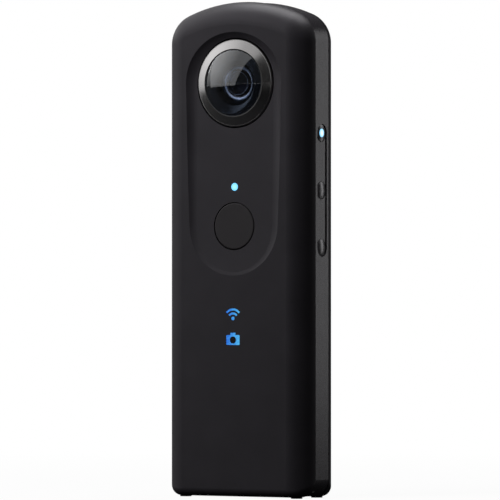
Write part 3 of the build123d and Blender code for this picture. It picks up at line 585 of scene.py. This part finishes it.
def socket_contacts(name, node, count, pitch, face, finishes):
    """Gold strips side by side on the tongue of a socket."""
    low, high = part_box(node)
    across = (low.x + high.x) / 2
    middle = low.z + contact_start + contact_length / 2
    bm = bmesh.new()
    for step in range(count):
        x = across + (step - (count - 1) / 2) * pitch
        place = Matrix.Translation((x, -face, middle))
        size = Matrix.Diagonal((pitch * contact_width_share, contact_thickness, contact_length, 1.0))
        bmesh.ops.create_cube(bm, size=1.0, matrix=place @ size)
    finished_piece(name, bm, finishes["contact_gold"], smooth=False)


def make_small_pieces(finishes):
    """Lens retainers, the tripod thread and the contacts of both sockets."""
    lens_retainers("front_lens_retainers", -1, finishes)
    lens_retainers("rear_lens_retainers", 1, finishes)
    tripod_thread(finishes)
    for name, (node, count, pitch, face) in contact_rows.items():
        socket_contacts(name, node, count, pitch, face, finishes)


# Studio

def make_camera():
    """The camera of the scene, at the photograph's place and angle."""
    camera = bpy.data.cameras.new("photo_camera")
    camera.sensor_width = film_width
    camera.lens = focal_length
    camera.clip_start = near_limit
    camera.clip_end = far_limit
    holder = bpy.data.objects.new("photo_camera", camera)
    bpy.context.scene.collection.objects.link(holder)
    away = Vector((math.sin(camera_azimuth), -math.cos(camera_azimuth), 0.0))
    left = Vector((-math.cos(camera_azimuth), -math.sin(camera_azimuth), 0.0))
    holder.location = away * camera_distance + Vector((0.0, 0.0, camera_level))
    aim = left * aim_shift + Vector((0.0, 0.0, aim_level)) - holder.location
    holder.rotation_euler = aim.to_track_quat("-Z", "Y").to_euler()
    bpy.context.scene.camera = holder


def mirror_rays(tree):
    """1 for what metal and glass show, and 0 for everything else."""
    ray = tree.nodes.new("ShaderNodeLightPath")
    return joined(tree, "MAXIMUM", ray.outputs["Is Glossy Ray"], ray.outputs["Is Transmission Ray"])


def background_rays(tree):
    """1 for the eye and for what metal and glass show, and 0 for the light on the object."""
    ray = tree.nodes.new("ShaderNodeLightPath")
    return joined(tree, "MAXIMUM", ray.outputs["Is Camera Ray"], mirror_rays(tree))


def window_light(tree):
    """How bright the room looks in metal and glass: bright high on its window side, dark elsewhere."""
    place = tree.nodes.new("ShaderNodeTexCoord").outputs["Generated"]
    facing = tree.nodes.new("ShaderNodeVectorMath")
    facing.operation = "DOT_PRODUCT"
    facing.inputs[1].default_value = Vector(window_way).normalized()
    tree.links.new(place, facing.inputs[0])
    sideways = value_between(
        tree, facing.outputs["Value"], 0.0, 1.0, window_fade_start, window_fade_end
    )
    upwards = value_between(
        tree, parts_of(tree, place)["Z"], horizon_share, 1.0, 0.0, horizon_fade_end
    )
    seen = joined(tree, "MULTIPLY", sideways, upwards)
    return value_between(tree, seen, room_dark_level, room_window_level, 0.0, 1.0)


def studio_air():
    """White behind the object for the eye, and a room that is bright on its window side."""
    world = bpy.data.worlds.new("studio_air")
    world.use_nodes = True
    bpy.context.scene.world = world
    tree = world.node_tree
    room = tree.nodes["Background"]
    set_inputs(room, Color=studio_white)
    level = tree.nodes.new("ShaderNodeMix")
    level.inputs["A"].default_value = room_light_level
    tree.links.new(mirror_rays(tree), level.inputs["Factor"])
    tree.links.new(window_light(tree), level.inputs["B"])
    tree.links.new(level.outputs["Result"], room.inputs["Strength"])
    white = tree.nodes.new("ShaderNodeBackground")
    set_inputs(white, Color=studio_white, Strength=1.0)
    eye = tree.nodes.new("ShaderNodeLightPath").outputs["Is Camera Ray"]
    show_mix(tree, eye, room.outputs["Background"], white.outputs["Background"], "World Output")


def round_sheet(name, radius, level):
    """A flat disc of the studio, centred under the object."""
    mesh = bpy.data.meshes.new(name)
    bm = bmesh.new()
    bmesh.ops.create_circle(bm, cap_ends=True, segments=sheet_sides, radius=radius)
    bm.to_mesh(mesh)
    bm.free()
    sheet = bpy.data.objects.new(name, mesh)
    sheet.location.z = level
    bpy.context.scene.collection.objects.link(sheet)
    return sheet


def studio_floor():
    """A wide pale floor that keeps the object's shadow and looks white to the eye."""
    floor = round_sheet("studio_floor", floor_radius, 0.0)
    material, tree, shader, place = new_finish("studio_floor")
    set_inputs(shader, Roughness=0.9, Base_Color=floor_white, Specular_IOR_Level=0.1)
    white = tree.nodes.new("ShaderNodeEmission")
    set_inputs(white, Color=studio_white, Strength=1.0)
    away = tree.nodes.new("ShaderNodeVectorMath")
    away.operation = "LENGTH"
    tree.links.new(place, away.inputs[0])
    share = value_between(
        tree, away.outputs["Value"], near_floor_white_share, 1.0, near_floor_end, far_floor_start
    )
    shown = joined(tree, "MULTIPLY", share, background_rays(tree))
    show_mix(tree, shown, shader.outputs["BSDF"], white.outputs["Emission"], "Material Output")
    floor.data.materials.append(material)


def dark_mat():
    """A dark card round the foot of the object, which only its shiny surfaces see."""
    mat = round_sheet("dark_mat", mat_radius, mat_level)
    mat.visible_camera = False
    mat.visible_shadow = False
    mat.data.materials.append(dull_black("dark_mat"))


def softbox(name, place, aim, size, watts):
    """A flat lamp at place, turned to aim, that isn't seen through the lenses."""
    lamp = bpy.data.lights.new(name, "AREA")
    lamp.shape = "RECTANGLE"
    lamp.size, lamp.size_y = size
    lamp.energy = watts
    lamp.color = studio_white
    holder = bpy.data.objects.new(name, lamp)
    holder.location = place
    holder.rotation_euler = (Vector(aim) - Vector(place)).to_track_quat("-Z", "Y").to_euler()
    holder.visible_transmission = False
    holder.visible_glossy = name != box_without_reflection
    bpy.context.scene.collection.objects.link(holder)


def make_lamps():
    """All softboxes of the studio."""
    for name, (place, aim, size, watts) in softboxes.items():
        softbox(name, place, aim, size, watts)


bpy.context.scene.view_settings.view_transform = "Standard"
make_camera()
studio_air()
studio_floor()
dark_mat()
make_lamps()
finishes = plastics() | metals() | glasses_and_lights()
dress_nodes(finishes)
make_small_pieces(finishes)
